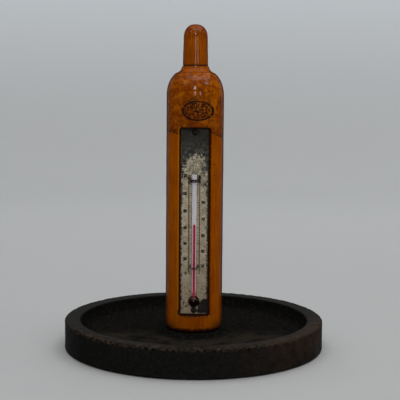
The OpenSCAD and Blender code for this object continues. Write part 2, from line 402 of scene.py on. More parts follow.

# %% [markdown]
# ## The painted wood
# Old amber enamel on turned wood shows fine upright streaks from the brush and the grain. The
# shoulder has a second, redder varnish that has crazed into small cells and stops at a ragged edge
# just above the recess. An oval stamp sits on it, worn, and left without any lettering.
# Every mark is a mask made from height, noise or distance, and the masks are laid over each other
# in the order in which the real layers were applied. A few masks paint light instead: painted shade at
# the foot, in the recess and along the silhouettes, and a painted highlight along the recess's left
# lip.

# %% Amber paint
AMBER = (0.40, 0.094, 0.0008)
AMBER_DEEP = (0.27, 0.053, 0.0006)
HONEY = (0.53, 0.145, 0.0020)
RED_BROWN = (0.22, 0.040, 0.0020)
# this dark brown serves for real grime and also for painted shade at the foot, in the recess and along
# the silhouettes
GRIME_AND_SHADE = (0.030, 0.011, 0.004)
STAMP_INK = (0.014, 0.008, 0.006)
VARNISH_EDGE = 108.3     # height of the varnish's ragged lower edge
OVAL = (1.4, 118.7, 7.3, 4.5)     # centre x and z, half width and half height
HIGHLIGHT_LIP_X, HIGHLIGHT_LIP_Z = (-6.8, -7.2), (19.5, 21)     # painted highlight along the recess's left edge
HIGH_MARK, LOW_MARK = (9.3, 92.6, 0.35), (9.4, 87.2, 0.25)     # x, z and radius


def oval_stamp(b):
    """The worn printed oval: a thin line, and broken specks inside it."""
    x0, z0, half_w, half_h = OVAL
    away = (((b.x - x0) / half_w) ** 2 + ((b.z - z0) / half_h) ** 2) ** 0.5
    worn = b.grain(0.8, 4).ramp(0.34, 0.46)
    line = (away - 1).size().ramp(0.115, 0.060) * (worn * 0.65 + 0.35)
    specks = b.grain(0.8, 4, b.stretched(0.8, 0.8, 1.3)).ramp(0.46, 0.52) * away.ramp(0.92, 0.82)
    smudge = b.spot(-1.0, z0 + 4.0, 2.2, 1.6) * b.grain(1.0, 4).ramp(0.40, 0.50)
    return line.largest(specks * 0.9).largest(smudge * 0.85) * b.front()


def amber_paint(name, crazed):
    b = Bench(name)
    streaks = b.grain(0.55, 4, b.stretched(1, 1, 0.035)).ramp(0.44, 0.60)
    clouds = b.grain(9, 3).ramp(0.40, 0.66)
    edge_on = b.grazing()
    colour = b.mix(AMBER, AMBER_DEEP, streaks * 0.60 + clouds * 0.40)
    threads = b.grain(0.30, 3, b.stretched(1, 1, 0.02)).ramp(0.60, 0.68)
    colour = b.mix(colour, RED_BROWN, threads * 0.55)
    peel = b.grain(0.9, 3)
    relief = [(streaks, 0.014), (peel, 0.03)]
    specks = b.cells(6.5).ramp(0.050, 0.028) * b.grain(7, 1).ramp(0.5, 0.56)
    if crazed:
        edge = b.z + (b.grain(3.2, 5) - 0.5) * 7 + b.x.ramp(7.5, 11) * b.y.ramp(0, -4) * 2.0
        varnish = edge.ramp(VARNISH_EDGE - 0.25, VARNISH_EDGE + 0.25)
        varnish = varnish * b.z.ramp(body_top - 2.9, body_top - 3.5)
        blotch = b.grain(2.2, 6, roughness=0.72).ramp(0.44, 0.56)
        patches = b.grain(4.2, 3).ramp(0.50, 0.60)
        near_oval = b.x.size().ramp(8, 4) * b.z.ramp(body_top - 12, body_top - 17)
        pits = b.grain(0.85, 4, b.stretched(1, 1, 0.6), roughness=0.7).ramp(0.56, 0.63)
        lower = b.z.ramp(VARNISH_EDGE + 8, VARNISH_EDGE + 1)
        aged = b.coats(RED_BROWN, (AMBER, blotch * 0.65 + patches * 0.20), (HONEY, patches * 0.55),
                       (GRIME_AND_SHADE, pits * (1 - patches * 0.8) * (0.45 + near_oval * 0.50)),
                       (RED_BROWN, lower * 0.60),
                       (GRIME_AND_SHADE, lower * b.grain(1.4, 5, roughness=0.7).ramp(0.50, 0.58) * 0.55))
        colour = b.mix(colour, aged, varnish * 0.95)
        wander = b.node("ShaderNodeVectorMath", {"operation": "ADD"}, {
            0: b.at, 1: b.node("ShaderNodeTexNoise", {}, {"Vector": b.at, "Scale": 0.9}, out=1)})
        craze = b.cells(1.5, "DISTANCE_TO_EDGE", wander).ramp(0.13, 0.03)
        craze = craze * b.grain(2.6, 2).ramp(0.40, 0.52) * varnish
        colour = b.mix(colour, GRIME_AND_SHADE, craze * (0.32 + near_oval * 0.25))
        rim = (edge - VARNISH_EDGE).size().ramp(0.85, 0.25) * b.grain(1.1, 2).ramp(0.38, 0.50)
        colour = b.mix(colour, GRIME_AND_SHADE, rim * 0.85)
        relief += [(varnish * (1 - craze), 0.06)]
        # Painted shade: a dark band round the foot where it meets the tray, darker towards the left
        # and right sides.
        foot = (b.z + (b.grain(1.8, 4) - 0.5) * 3).ramp(body_low + 3.0, body_low + 1.0)
        foot_side_shade = b.x.size().ramp(6, 12.5) * b.z.ramp(body_low + 8.0, body_low + 2.0)
        colour = b.mix(colour, GRIME_AND_SHADE, foot.largest(foot_side_shade * 0.8) * 0.9)
        lip, inside = b.attribute("lip"), b.attribute("inside")
        # Painted highlight: the recess's left lip is painted a lit honey colour.
        left = b.x.ramp(*HIGHLIGHT_LIP_X) * b.z.ramp(*HIGHLIGHT_LIP_Z)
        chipped = b.grain(0.8, 4).ramp(0.40, 0.55)
        # Painted shade darkens the recess's walls and floor; the rest of the lip gets a dark chipped
        # edge.
        colour = b.coats(colour, (HONEY, lip * left),
                         (GRIME_AND_SHADE, lip * (1 - left) * (chipped * 0.6 + 0.35)),
                         (GRIME_AND_SHADE, inside * 0.9), (STAMP_INK, oval_stamp(b) * 0.97))
        marks = b.spot(*HIGH_MARK).largest(b.spot(*LOW_MARK))
        specks = specks.largest(marks)
    else:
        tip = (b.z - cap_top).ramp(-8.0, -2.5)
        mottle = b.grain(1.5, 5, roughness=0.7)
        dribble = b.grain(0.75, 4, b.stretched(1, 1, 0.12), roughness=0.65).ramp(0.50, 0.60)
        relief += [(mottle, 0.05)]
        mouth = b.z.ramp(cap_low + 0.9, cap_low + 0.1)
        colour = b.coats(colour, (RED_BROWN, tip * mottle.ramp(0.42, 0.52) * 0.85),
                         (GRIME_AND_SHADE, tip * mottle.ramp(0.51, 0.57) * 0.85), (RED_BROWN, dribble * 0.80),
                         # painted shade: the cap turns red-brown towards its silhouette
                         (RED_BROWN, edge_on.ramp(0.10, 0.60) * 0.45),
                         (GRIME_AND_SHADE, mouth * (b.grain(1.2, 3) * 0.9)))
    # Dark specks, then painted shade that darkens the paint towards its silhouettes.
    colour = b.coats(colour, (GRIME_AND_SHADE, specks * 0.85), (GRIME_AND_SHADE, edge_on.ramp(0.45, 0.85) * 0.80))
    bare = b.attribute("lip").largest(b.attribute("inside")).largest(edge_on.ramp(0.55, 0.85))
    bare = bare.largest(b.facing().ramp(0.35, 0.75) * 0.85)
    dull = b.grain(2.6, 4) * 0.22 + 0.34 + specks * 0.3
    return b.surface({
        "Base Color": colour, "Roughness": dull, "Coat Weight": 0.60 - bare * 0.60,
        "Coat Roughness": 0.09, "IOR": 1.5, "Specular IOR Level": 0.0,
        "Normal": b.bumps(*relief)})


body_paint = amber_paint("aged_amber_paint", crazed=True)
cap_paint = amber_paint("cap_amber_paint", crazed=False)
print("paint nodes:", len(body_paint.node_tree.nodes), len(cap_paint.node_tree.nodes))

# %% [markdown]
# ## The cylinder
# The body is one turned shape with a long window cut into its front. A Boolean cut would leave a
# knife edge, and the real edge is rounded and bruised. So the outside is a grid whose rows and
# columns run exactly along the window, and the window's lip, walls and floor are rings that start
# from the grid's own boundary points. The depth of the lip varies, which gives the bruises.

# %% Outline of the cylinder
SLOT_HALF, SLOT_LOW, SLOT_HIGH = 7.6, plate_low - 0.7, plate_high + 0.4
SLOT_CORNER, LIP = 1.2, 0.55
NECK_R, NECK_H, SHOULDER_H, FOOT_ROUND = cap_r + 0.3, 2.4, 12.0, 3.0
HOLLOW_R, HOLLOW_RISE, HOLLOW_FLARE, DOME_END = 3.9, 0.5, 63, 72
dome_low = body_top - NECK_H - SHOULDER_H
_, (_, _, screw_top) = span("base_screw")
SCREW_HOLE_R, HOLE_END, THREAD_GAP = 2.15, 0.2, 0.05
turned_lines = (body_top - 0.65, body_top - 1.75, body_top - 2.75)
LINE_DEPTH, LINE_HALF = 0.09, 0.16
PAINT_WAVE, PAINT_WAVE_SIZE, PAINT_SINK = 0.07, 9, 0.06
PAINT_RIPPLE, PAINT_RIPPLE_SIZE = 0.025, 1.6


def body_outline():
    """The body's half outline, from inside the screw's hole to inside the stud's hole."""
    hole_top = screw_top + HOLE_END
    run = [(0, hole_top), (SCREW_HOLE_R, hole_top), (SCREW_HOLE_R, body_low)]
    run += [(r, body_low) for r in steps(SCREW_HOLE_R + 2, body_r - FOOT_ROUND, 4)]
    for a in steps(0, 90, 9)[1:]:
        run.append((body_r - FOOT_ROUND + FOOT_ROUND * sin_deg(a),
                    body_low + FOOT_ROUND * (1 - cos_deg(a))))
    low, high = SLOT_LOW - LIP, SLOT_HIGH + LIP
    run += [(body_r, z) for z in steps(body_low + FOOT_ROUND, low, 8)[1:]]
    run += [(body_r, z) for z in steps(low, high, 150)[1:]]
    run += [(body_r, z) for z in steps(high, dome_low, 24)[1:]]
    for a in steps(0, DOME_END, 30)[1:]:
        run.append((NECK_R + (body_r - NECK_R) * cos_deg(a),
                    dome_low + SHOULDER_H * sin_deg(a)))
    neck_end = 180 + math.degrees(math.asin(HOLLOW_RISE / HOLLOW_R))
    for a in steps(180 + HOLLOW_FLARE, neck_end, 20):
        run.append((NECK_R + HOLLOW_R * (1 + cos_deg(a)),
                    body_top + HOLLOW_RISE + HOLLOW_R * sin_deg(a)))
    run += [(NECK_R - 0.15, body_top), (NECK_R - 1.5, body_top)]
    hole, hole_end = stud_r + THREAD_GAP, stud_low - HOLE_END
    run += [(hole, body_top), (hole, hole_end), (0, hole_end)]
    return run

# %% Grid with a window
def window_edge(x, z, shrink):
    """Moves a point of the window's rectangle onto its rounded outline, shrunk by a distance."""
    half, low, high = SLOT_HALF + LIP, SLOT_LOW - LIP, SLOT_HIGH + LIP
    corner = SLOT_CORNER + LIP
    cx = max(-half + corner, min(half - corner, x))
    cz = max(low + corner, min(high - corner, z))
    out = Vector((x - cx, z - cz))
    if out.length < TINY:
        out = Vector((x, 0))
    out.normalize()
    if cx != x or cz != z:
        x, z = cx + out.x * corner, cz + out.y * corner
    return x - out.x * shrink, z - out.y * shrink


def body_shape():
    outline = body_outline()
    edge_angle = math.asin((SLOT_HALF + LIP) / body_r)
    inner = steps(-edge_angle, edge_angle, 46)
    angles = inner + steps(edge_angle, math.tau - edge_angle, 166)[1:-1]
    low, high = SLOT_LOW - LIP, SLOT_HIGH + LIP
    points, rings, faces = [], [], []
    for r, z in outline:
        if r < TINY:
            rings.append([len(points)] * len(angles))
            points.append((0, 0, z))
            continue
        rings.append(list(range(len(points), len(points) + len(angles))))
        groove = sum(ease(LINE_HALF, 0.0, abs(z - line)) for line in turned_lines)
        for a in angles:
            x, y = math.sin(a), -math.cos(a)
            out = r
            if r > body_r - FOOT_ROUND and body_low + 1 < z < body_top - 1:
                out += PAINT_WAVE * rough(x * r, y * r, z * 0.4, PAINT_WAVE_SIZE) - PAINT_SINK
                out += PAINT_RIPPLE * rough(x * r, y * r, z * 0.15, PAINT_RIPPLE_SIZE)
            if r > NECK_R - 0.1:
                out -= LINE_DEPTH * groove
            points.append((out * x, out * y, z))
    wall_rows = [k for k, (r, _) in enumerate(outline) if r >= body_r - 0.01]
    row_low, row_high = [min(wall_rows, key=lambda k: abs(outline[k][1] - z)) for z in (low, high)]
    last_column = len(inner) - 1
    for k in range(len(rings) - 1):
        for i in range(len(angles)):
            if row_low <= k < row_high and i < last_column:
                continue
            faces += wall_face(rings[k], rings[k + 1], i, (i + 1) % len(angles))
    border = [rings[row_low][i] for i in range(last_column)]
    border += [rings[k][last_column] for k in range(row_low, row_high)]
    border += [rings[row_high][i] for i in range(last_column, 0, -1)]
    border += [rings[k][0] for k in range(row_high, row_low, -1)]
    flat = [(points[i][0], points[i][2]) for i in border]
    for i, (x, z) in zip(border, flat):
        x, z = window_edge(x, z, 0)
        points[i] = (x, -math.sqrt((body_r - 0.03) ** 2 - x * x), z)
    # the inside mark later carries painted shade on the recess's walls and floor
    marks = {"lip": {i: 0.35 for i in border}, "inside": {}}
    rings_in = [border]
    for part in (0.3, 0.6, 0.85, 1.0):
        ring = []
        for i, (x0, z0) in zip(border, flat):
            x, z = window_edge(x0, z0, LIP * math.sin(part * math.pi / 2))
            bruise = 0.45 + 0.28 * rough(x0, 0, z0, 5) + 0.35 * max(0, rough(x0, 3, z0, 1.4))
            if z0 < SLOT_LOW + 1:
                bruise += 0.35
            depth = max(0.15, bruise) * (1 - math.cos(part * math.pi / 2))
            ring.append(len(points))
            points.append((x, points[i][1] + depth, z))
            marks["lip"][ring[-1]] = 1.0
        rings_in.append(ring)
    for share in (0.25, 0.6, 1.0):
        ring = []
        for top, (x0, z0) in zip(rings_in[4], flat):
            x, _, z = points[top]
            ring.append(len(points))
            points.append((x, points[top][1] + (slot_y - points[top][1]) * share, z))
            marks["inside"][ring[-1]] = 1.0
        rings_in.append(ring)
    count = len(border)
    for one, other in zip(rings_in, rings_in[1:]):
        for i in range(count):
            j = (i + 1) % count
            faces.append([one[j], one[i], other[i], other[j]][::-1])
    faces.append(rings_in[-1])
    return (points, faces), marks


def make_cylinder():
    shape, marks = body_shape()
    piece = make_piece("painted_cylinder", shape, 50)
    reshape(piece.data, turn_outward)
    for name, values in marks.items():
        layer = piece.data.attributes.new(name, "FLOAT", "POINT")
        for i, value in values.items():
            layer.data[i].value = value
    return piece


seat(make_cylinder(), "stand", "body_paint", body_paint, "cylinder_body")

# %% [markdown]
# ## The cap
# The cap stands for the steel cap over the valve of a full-size cylinder. It is turned with a slight
# taper and a blunt dome, and it screws onto a stud. A superellipse gives the dome, because a plain
# half circle looks too pointed beside the real one.

# %% Cap
CAP_TAPER, CAP_DOME, CAP_POWER, MOUTH_ROUND = 0.35, 6.7, 2.3, 0.25


def cap_outline():
    bore = stud_r + THREAD_GAP
    dome_z, top_r = cap_top - CAP_DOME, cap_r - CAP_TAPER
    run = [(0, cap_low + 10), (bore - 0.2, cap_low + 10), (bore, cap_low + 9.7), (bore, cap_low + 0.3)]
    run += [(bore + 0.3, cap_low), (cap_r - MOUTH_ROUND, cap_low)]
    run += [(cap_r - MOUTH_ROUND * (1 - sin_deg(a)),
             cap_low + MOUTH_ROUND * (1 - cos_deg(a))) for a in (30, 60, 90)]
    run += [(cap_r - CAP_TAPER * (z - cap_low) / (dome_z - cap_low), z)
            for z in steps(cap_low + 0.6, dome_z, 34)]
    for a in steps(0, 90, 30)[1:]:
        rise = sin_deg(a)
        run.append((top_r * (1 - rise ** CAP_POWER) ** (1 / CAP_POWER), dome_z + CAP_DOME * rise))
    run[-1] = (0, cap_top)
    return run


def cap_warp(r, z, angle):
    if r > stud_r + 0.5 and z > cap_low + 0.5:
        x, y = r * math.sin(angle), -r * math.cos(angle)
        r += 0.04 * rough(x, y, z * 0.5, 5) * min(1, r / 3) - 0.04
    return r, z


seat(make_piece("screw_cap", turned(cap_outline(), 144, cap_warp), 50),
     "valve_cap", "cap_paint", cap_paint, "cap")

# %% [markdown]
# ## Steel thread and fibre washer
# The stud shows when the cap is unscrewed. Its thread is a helix: the radius at a point depends on
# its height and its angle together, so one grid with a saw-shaped radius makes the whole thread.
# The pitch is the one that the cap's two coupled joints give, so the cap climbs along it truly.
# The same maker serves the wood screw under the tray.

# %% Threads
ROWS_PER_TURN, STUD_GROOVE = 10, 0.42


def threaded(low, high, radius, pitch, depth, columns=40, tip=None):
    """A closed rod along Z whose radius follows a helix, run out smoothly at both ends."""
    turns = (high - low) / pitch
    rows = max(8, round(turns * ROWS_PER_TURN))
    outline = [(0, low)] + [(radius, z) for z in steps(low, high, rows)] + [(0, high)]

    def warp(r, z, angle):
        phase = ((z - low) / pitch - angle / math.tau) % 1
        saw = abs(2 * phase - 1)
        fade = ease(0, pitch, z - low) * ease(0, pitch, high - z)
        shape = tip(z) if tip else 1
        return (r - depth * (1 - saw * fade)) * shape, z

    return turned(outline, columns, warp)


joints = {joint["name"]: joint for joint in frame["joints"]}
cap_turns = joints["cap_turn"]["range_deg"][1] / 360
cap_pitch = joints["cap_lift"]["range_m"][1] / MM / cap_turns
print(f"cap thread pitch {cap_pitch:.3f} mm")


def steel(name, base, worn):
    b = Bench(name)
    scratch = b.grain(0.25, 4, b.stretched(1, 1, 6))
    stain = b.grain(1.4, 4).ramp(0.42, 0.62)
    colour = b.mix(base, worn, stain)
    return b.surface({"Base Color": colour, "Metallic": 1.0, "Roughness": scratch * 0.3 + 0.22,
                      "Normal": b.bumps((scratch, 0.01))})


stud_steel = steel("oily_steel", (0.36, 0.34, 0.31), (0.14, 0.10, 0.07))
stud_shape = threaded(stud_low, stud_top, stud_r, cap_pitch, STUD_GROOVE)
seat(make_piece("cap_thread", stud_shape, 60), "stand", "steel", stud_steel, "cap_stud")


def fibre():
    b = Bench("oiled_fibre")
    fleck = b.grain(0.35, 5, b.stretched(1, 1, 4))
    colour = b.mix((0.020, 0.010, 0.006), (0.060, 0.030, 0.016), fleck.ramp(0.4, 0.65))
    return b.surface({"Base Color": colour, "Roughness": fleck * 0.3 + 0.55,
                      "Normal": b.bumps((fleck, 0.02))})


seat(copy_of("cap_washer", "fibre_washer", 0.08), "cap_seal", "fibre", fibre(), "cap_washer")

# %% [markdown]
# ## The scale plate
# A thin enamelled plate carries the scale. Its upper quarter has gone dark, with an edge that has
# flaked away in islands, and its lower right corner is black. Below, the cream has yellowed and is
# peppered with fine rust. Its left and right edges are darkened with painted shade from the recess
# walls. The stains are noise compared with a height: the sum of the two, stepped, gives ragged coasts.

# %% Plate finish
CREAM = (0.66, 0.56, 0.41)
CREAM_AGED = (0.40, 0.31, 0.185)
TARNISH = (0.015, 0.0155, 0.012)
RUST = (0.085, 0.038, 0.016)
BLACK_SPOT = (0.012, 0.010, 0.008)
GREEN_CAST = (0.20, 0.215, 0.150)
PLATE_DIRT = (0.075, 0.062, 0.040)
GREY_TARNISH = (0.085, 0.088, 0.070)
BARE_EDGE = (0.28, 0.24, 0.18)
DARK_TOP = (95.6, 96.4)     # height of the dark top's ragged lower edge


def plate_finish():
    b = Bench("flaked_enamel")
    fine, broad, flake = b.grain(0.8, 5), b.grain(3.5, 4), b.grain(1.5, 6, roughness=0.65)
    colour = b.mix(CREAM, CREAM_AGED, broad.ramp(0.42, 0.66) * 0.65 + fine.ramp(0.45, 0.7) * 0.3)
    colour = b.mix(colour, CREAM_AGED, b.z.ramp(48, 24) * 0.5)
    pepper = b.cells(1.3).ramp(0.26, 0.15) * b.grain(2.4, 3).ramp(0.46, 0.54)
    near_top = b.z.ramp(80, 92)
    fine_pepper = b.grain(0.9, 5, roughness=0.7).ramp(0.545, 0.59)
    pepper = pepper.largest(fine_pepper * (0.30 + near_top * 0.70))
    dirt = b.grain(1.1, 6, roughness=0.75).ramp(0.53, 0.62)
    dirt = dirt * (b.x.size().ramp(1.5, 5.5) * 0.75 + 0.15)
    rusty = b.grain(1.9, 5).ramp(0.56, 0.66) * b.x.ramp(1.5, -2.5) * b.z.ramp(38, 27)
    colour = b.coats(colour, (GREEN_CAST, near_top * flake.ramp(0.42, 0.58) * 0.7),
                     (PLATE_DIRT, dirt * 0.60), (BLACK_SPOT, pepper * 0.85), (RUST, rusty * 0.9))
    coast = b.z + (flake - 0.5) * 15 + (0 - b.x).ramp(1.5, 6) * 5.5 + b.x.ramp(4.5, 6.5) * 4
    dark_top = coast.ramp(*DARK_TOP)
    corner = b.x.ramp(-0.5, 4.5) * b.z.ramp(27.5, 22.5) + (flake - 0.5) * 1.4
    dark_low = corner.ramp(0.42, 0.55)
    ragged = flake * 0.5 + b.grain(0.8, 5, roughness=0.7) * 0.5
    # Painted shade along the plate's left and right edges, beside the recess walls.
    sides = (b.x.size() + (ragged - 0.5) * 6 + b.z.ramp(60, 90) * 0.35).ramp(6.05, 6.40)
    islands = b.grain(1.5, 5, roughness=0.7).ramp(0.51, 0.545)
    islands = islands * b.z.ramp(80, 88) * b.x.size().ramp(2.2, 4.0)
    dark = dark_top.largest(dark_low).largest(sides * 0.95).largest(islands)
    shade_colour = b.mix(TARNISH, BLACK_SPOT, fine.ramp(0.50, 0.66) * 0.7)
    grey_part = b.z.ramp(106, 97) * b.grain(2.0, 5).ramp(0.42, 0.58) * b.z.ramp(60, 75)
    greyer = b.mix(shade_colour, GREY_TARNISH, grey_part)
    bare = b.z.ramp(plate_low + 0.55, plate_low + 0.25)
    colour = b.coats(colour, (greyer, dark * 0.95), (BLACK_SPOT, dark_low * 0.75),
                     (BARE_EDGE, bare * fine.ramp(0.38, 0.5)))
    sheen = 0.38 + dark * 0.10 + pepper * 0.25 + fine * 0.2
    return b.surface({"Base Color": colour, "Roughness": sheen, "Specular IOR Level": 0.4,
                      "Normal": b.bumps(((1 - dark) + flake * 0.5, 0.05), (fine, 0.03))})


enamel = plate_finish()
plate = seat(copy_of("scale_plate", "enamel_plate", 0.12), "stand", "plate", enamel, "scale_plate")
print("plate faces:", len(plate.data.polygons))

# %% [markdown]
# ## The printed scale
# Spirit expands faster as it warms, so the degrees widen upwards. The height of a degree is
# a + b F + c F squared above the bulb. A tick every two degrees, longer at the tens, follows that
# rule, which is work for Geometry Nodes: a line of points, each point's index turned into degrees
# and then into height, and a small ink stroke as an instance on each. The strokes are 0.015 mm thick
# ink, so they stay real geometry and cast no visible shadow.

# %% Tree for the ticks
SCALE_ZERO, SCALE_PITCH, SCALE_GROWTH = bulb_z + 14.2, 0.3562, 0.000408
INK_DEPTH = 0.015
INK_Y = plate_y - INK_DEPTH / 2


def degree_z(f):
    return SCALE_ZERO + SCALE_PITCH * f + SCALE_GROWTH * f * f


class TreeBench(Bench):
    """The same arithmetic for a Geometry Nodes tree."""

    def __init__(self, name, inputs):
        self.tree = bpy.data.node_groups.new(name, "GeometryNodeTree")
        face = self.tree.interface
        face.new_socket("Geometry", in_out="OUTPUT", socket_type="NodeSocketGeometry")
        self.keys = {}
        for label, kind in inputs.items():
            socket = face.new_socket(label, in_out="INPUT", socket_type=f"NodeSocket{kind}")
            self.keys[label] = socket.identifier
        self.start = self.tree.nodes.new("NodeGroupInput")

    def given(self, label):
        return Wire(self, self.start.outputs[label])

    def run(self, piece, values):
        """Runs the tree on a piece and leaves its result as a plain mesh."""
        step = piece.modifiers.new("rule", "NODES")
        step.node_group = self.tree
        for label, value in values.items():
            step[self.keys[label]] = value
        made = plain_mesh(piece)
        piece.modifiers.clear()
        piece.data = made
        made.name = piece.name
        print(f"{piece.name}: {len(made.polygons)} faces from nodes")
        return piece


def tick_tree():
    t = TreeBench("tick_rule", {
        "Ticks": "Int", "Step": "Float", "Zero": "Float", "Pitch": "Float", "Growth": "Float",
        "Edge": "Float", "Front": "Float", "Short": "Float", "Long": "Float", "Stroke": "Float",
        "Depth": "Float", "Ink": "Material"})
    degrees = t.node("GeometryNodeInputIndex") * t.given("Step")
    height = t.given("Zero") + t.given("Pitch") * degrees + t.given("Growth") * degrees * degrees
    place = t.node("ShaderNodeCombineXYZ", {}, {0: t.given("Edge"), 1: t.given("Front"), 2: height})
    dots = t.node("GeometryNodeMeshLine", {}, {"Count": t.given("Ticks")})
    dots = t.node("GeometryNodeSetPosition", {}, {"Geometry": dots, "Position": place})
    tens = t.node("ShaderNodeMath", {"operation": "MODULO"}, {0: degrees + 0.5, 1: 10.0})
    is_ten = t.node("ShaderNodeMath", {"operation": "LESS_THAN"}, {0: tens, 1: 1.0})
    length = t.given("Short") + (t.given("Long") - t.given("Short")) * is_ten
    box = t.node("GeometryNodeMeshCube", {}, {"Size": (1, 1, 1)})
    box = t.node("GeometryNodeTransform", {}, {"Geometry": box, "Translation": (0.5, 0, 0)})
    size = t.node("ShaderNodeCombineXYZ", {}, {0: length, 1: t.given("Depth"), 2: t.given("Stroke")})
    strokes = t.node("GeometryNodeInstanceOnPoints", {},
                     {"Points": dots, "Instance": box, "Scale": size})
    strokes = t.node("GeometryNodeRealizeInstances", {}, {"Geometry": strokes})
    strokes = t.node("GeometryNodeSetMaterial", {}, {0: strokes, "Material": t.given("Ink")})
    end = t.tree.nodes.new("NodeGroupOutput")
    t.tree.links.new(strokes.socket, end.inputs[0])
    return t


def printing_ink():
    b = Bench("worn_printing_ink")
    worn = b.grain(0.45, 4).ramp(0.58, 0.72)
    colour = b.mix((0.016, 0.012, 0.009), (0.120, 0.095, 0.065), worn * 0.8)
    return b.surface({"Base Color": colour, "Roughness": worn * 0.2 + 0.5,
                      "Normal": b.bumps((worn, 0.01))})


ink = printing_ink()
ticks = tick_tree()

# %% Print the ticks
LEFT_LINE, RIGHT_LINE, TICK_SHORT, TICK_LONG = -2.84, 2.64, 0.75, 1.45
STROKE, LINE = 0.23, 0.33
LAST_DEGREE, TICK_STEP, NUMBER_STEP, LINE_OVERRUN = 120, 2, 10, 0.3


def print_ticks(name, edge, toward):
    piece = place_object(name, bpy.data.meshes.new(name))
    ticks.run(piece, {
        "Ticks": LAST_DEGREE // TICK_STEP + 1, "Step": float(TICK_STEP),
        "Zero": SCALE_ZERO * MM, "Pitch": SCALE_PITCH * MM, "Growth": SCALE_GROWTH * MM,
        "Edge": edge * MM, "Front": INK_Y * MM,
        "Short": toward * TICK_SHORT * MM, "Long": toward * TICK_LONG * MM,
        "Stroke": STROKE * MM, "Depth": INK_DEPTH * MM, "Ink": ink})
    if toward < 0:
        piece.data.flip_normals()
    return seat(piece, "stand", "plate", None)


print_ticks("ticks_left", LEFT_LINE, 1)
print_ticks("ticks_right", RIGHT_LINE, -1)


def bar(x0, x1, z0, z1):
    """A thin upright box on the plate as points and faces."""
    points = [(x, y, z) for z in (z0, z1) for y in (plate_y - INK_DEPTH, plate_y) for x in (x0, x1)]
    faces = [[0, 1, 5, 4], [3, 2, 6, 7], [2, 0, 4, 6], [1, 3, 7, 5], [2, 3, 1, 0], [4, 5, 7, 6]]
    return points, faces


scale_span = degree_z(0) - LINE_OVERRUN, degree_z(LAST_DEGREE) + LINE_OVERRUN
lines = joined(*(bar(x - LINE / 2, x + LINE / 2, *scale_span) for x in (LEFT_LINE, RIGHT_LINE)))
seat(make_piece("scale_lines", lines), "stand", "plate", ink)

# %% [markdown]
# ## The figures
# Numbers stand beside every ten degrees, alternating: 0, 20, 40 and so on at the left, 10, 30, 50 and
# so on at the right. A text object has good curves but no place in an assembly, so each number is
# turned into a mesh, scaled to its printed height and moved to its degree. All of them are one piece.

# %% Figures
FIGURE_H, FIGURE_STRETCH, LEFT_END, RIGHT_START = 1.75, 0.86, -3.62, 3.35
FIGURE_W = FIGURE_H * FIGURE_STRETCH
FIGURE_DEPTH, FIGURE_WEIGHT, FIGURE_CURVE_STEPS, FIGURE_FLATTEN = 0.01, 0.075, 4, 0.7


def figure_mesh(text):
    """Points and faces of a number, 1 high, with its left lower corner at 0."""
    curve = bpy.data.curves.new("figure", "FONT")
    curve.body = text
    curve.extrude, curve.offset, curve.resolution_u = FIGURE_DEPTH, FIGURE_WEIGHT, FIGURE_CURVE_STEPS
    holder = place_object("figure", curve)
    bpy.context.view_layer.update()
    mesh = plain_mesh(holder)
    low_x, low_y = min(v.co.x for v in mesh.vertices), min(v.co.y for v in mesh.vertices)
    tall = max(v.co.y for v in mesh.vertices) - low_y
    points = [((v.co.x - low_x) / tall, (v.co.y - low_y) / tall, v.co.z) for v in mesh.vertices]
    faces = [list(p.vertices) for p in mesh.polygons]
    bpy.data.objects.remove(holder)
    return points, faces


def placed_figure(f):
    points, faces = figure_mesh(str(f))
    wide = max(p[0] for p in points) * FIGURE_W
    x0 = LEFT_END - wide if f % (2 * NUMBER_STEP) == 0 else RIGHT_START
    z0 = degree_z(f) - FIGURE_H / 2
    set_in = [(x0 + px * FIGURE_W, INK_Y - pz * FIGURE_FLATTEN, z0 + py * FIGURE_H)
              for px, py, pz in points]
    return set_in, faces


figures = joined(*(placed_figure(f) for f in range(0, LAST_DEGREE + 1, NUMBER_STEP)))
numbers = make_piece("scale_figures", figures, 30)
reshape(numbers.data, merge_points, turn_outward)
seat(numbers, "stand", "plate", ink)

# %% [markdown]
# ## The two pins
# Round-headed pins hold the plate. Theirs is a simple shape, and the CAD copy keeps it, but the
# heads are hammered, tarnished metal, so the surface gets small facets from cell noise.

# %% Pins
def pin_metal():
    b = Bench("tarnished_pin")
    dent = b.cells(0.55)
    spots = b.grain(0.5, 4).ramp(0.40, 0.62)
    colour = b.mix((0.090, 0.075, 0.055), (0.020, 0.016, 0.013), spots)
    return b.surface({"Base Color": colour, "Metallic": 0.7, "Roughness": spots * 0.25 + 0.35,
                      "Normal": b.bumps((dent, 0.06), (spots, 0.03))})


pin_finish = pin_metal()
for node in ("top_plate_pin", "bottom_plate_pin"):
    seat(copy_of(node, f"{node}_head", 0.0, 50), "stand", "pin", pin_finish, node)

# %% [markdown]
# ## Glass, strip and spirit
# The tube is clear glass with a white strip behind the bore and red spirit in it. Real refraction
# would magnify the thread, and the CAD thread is already drawn at the width that one sees, so the
# glass passes light straight: a mix of a clear shader and a glossy one, shared out by Fresnel.
# The bore's wall is a second finish on the same piece, faintly lilac, as the empty bore looks.

# %% Glass
def clear_glass(name, tint, edge_share):
    b = Bench(name)
    ripple = b.grain(1.3, 2)
    normal = b.bumps((ripple, 0.01))
    clear = b.node("ShaderNodeBsdfTransparent", {}, {"Color": tint})
    gloss = b.node("ShaderNodeBsdfGlossy", {}, {"Color": (0.9, 0.92, 0.92), "Roughness": 0.06,
                                               "Normal": normal})
    fresnel = b.node("ShaderNodeFresnel", {}, {"IOR": 1.5, "Normal": normal})
    share = fresnel * edge_share
    mixed = b.node("ShaderNodeMixShader", {}, {0: share, 1: clear, 2: gloss})
    b.node_output(mixed)
    return b.material


TUBE_R, BULB_WALL, BORE_R, END_GLASS, BORE_END = 1.55, 0.10, 0.55, 1.1, 0.3


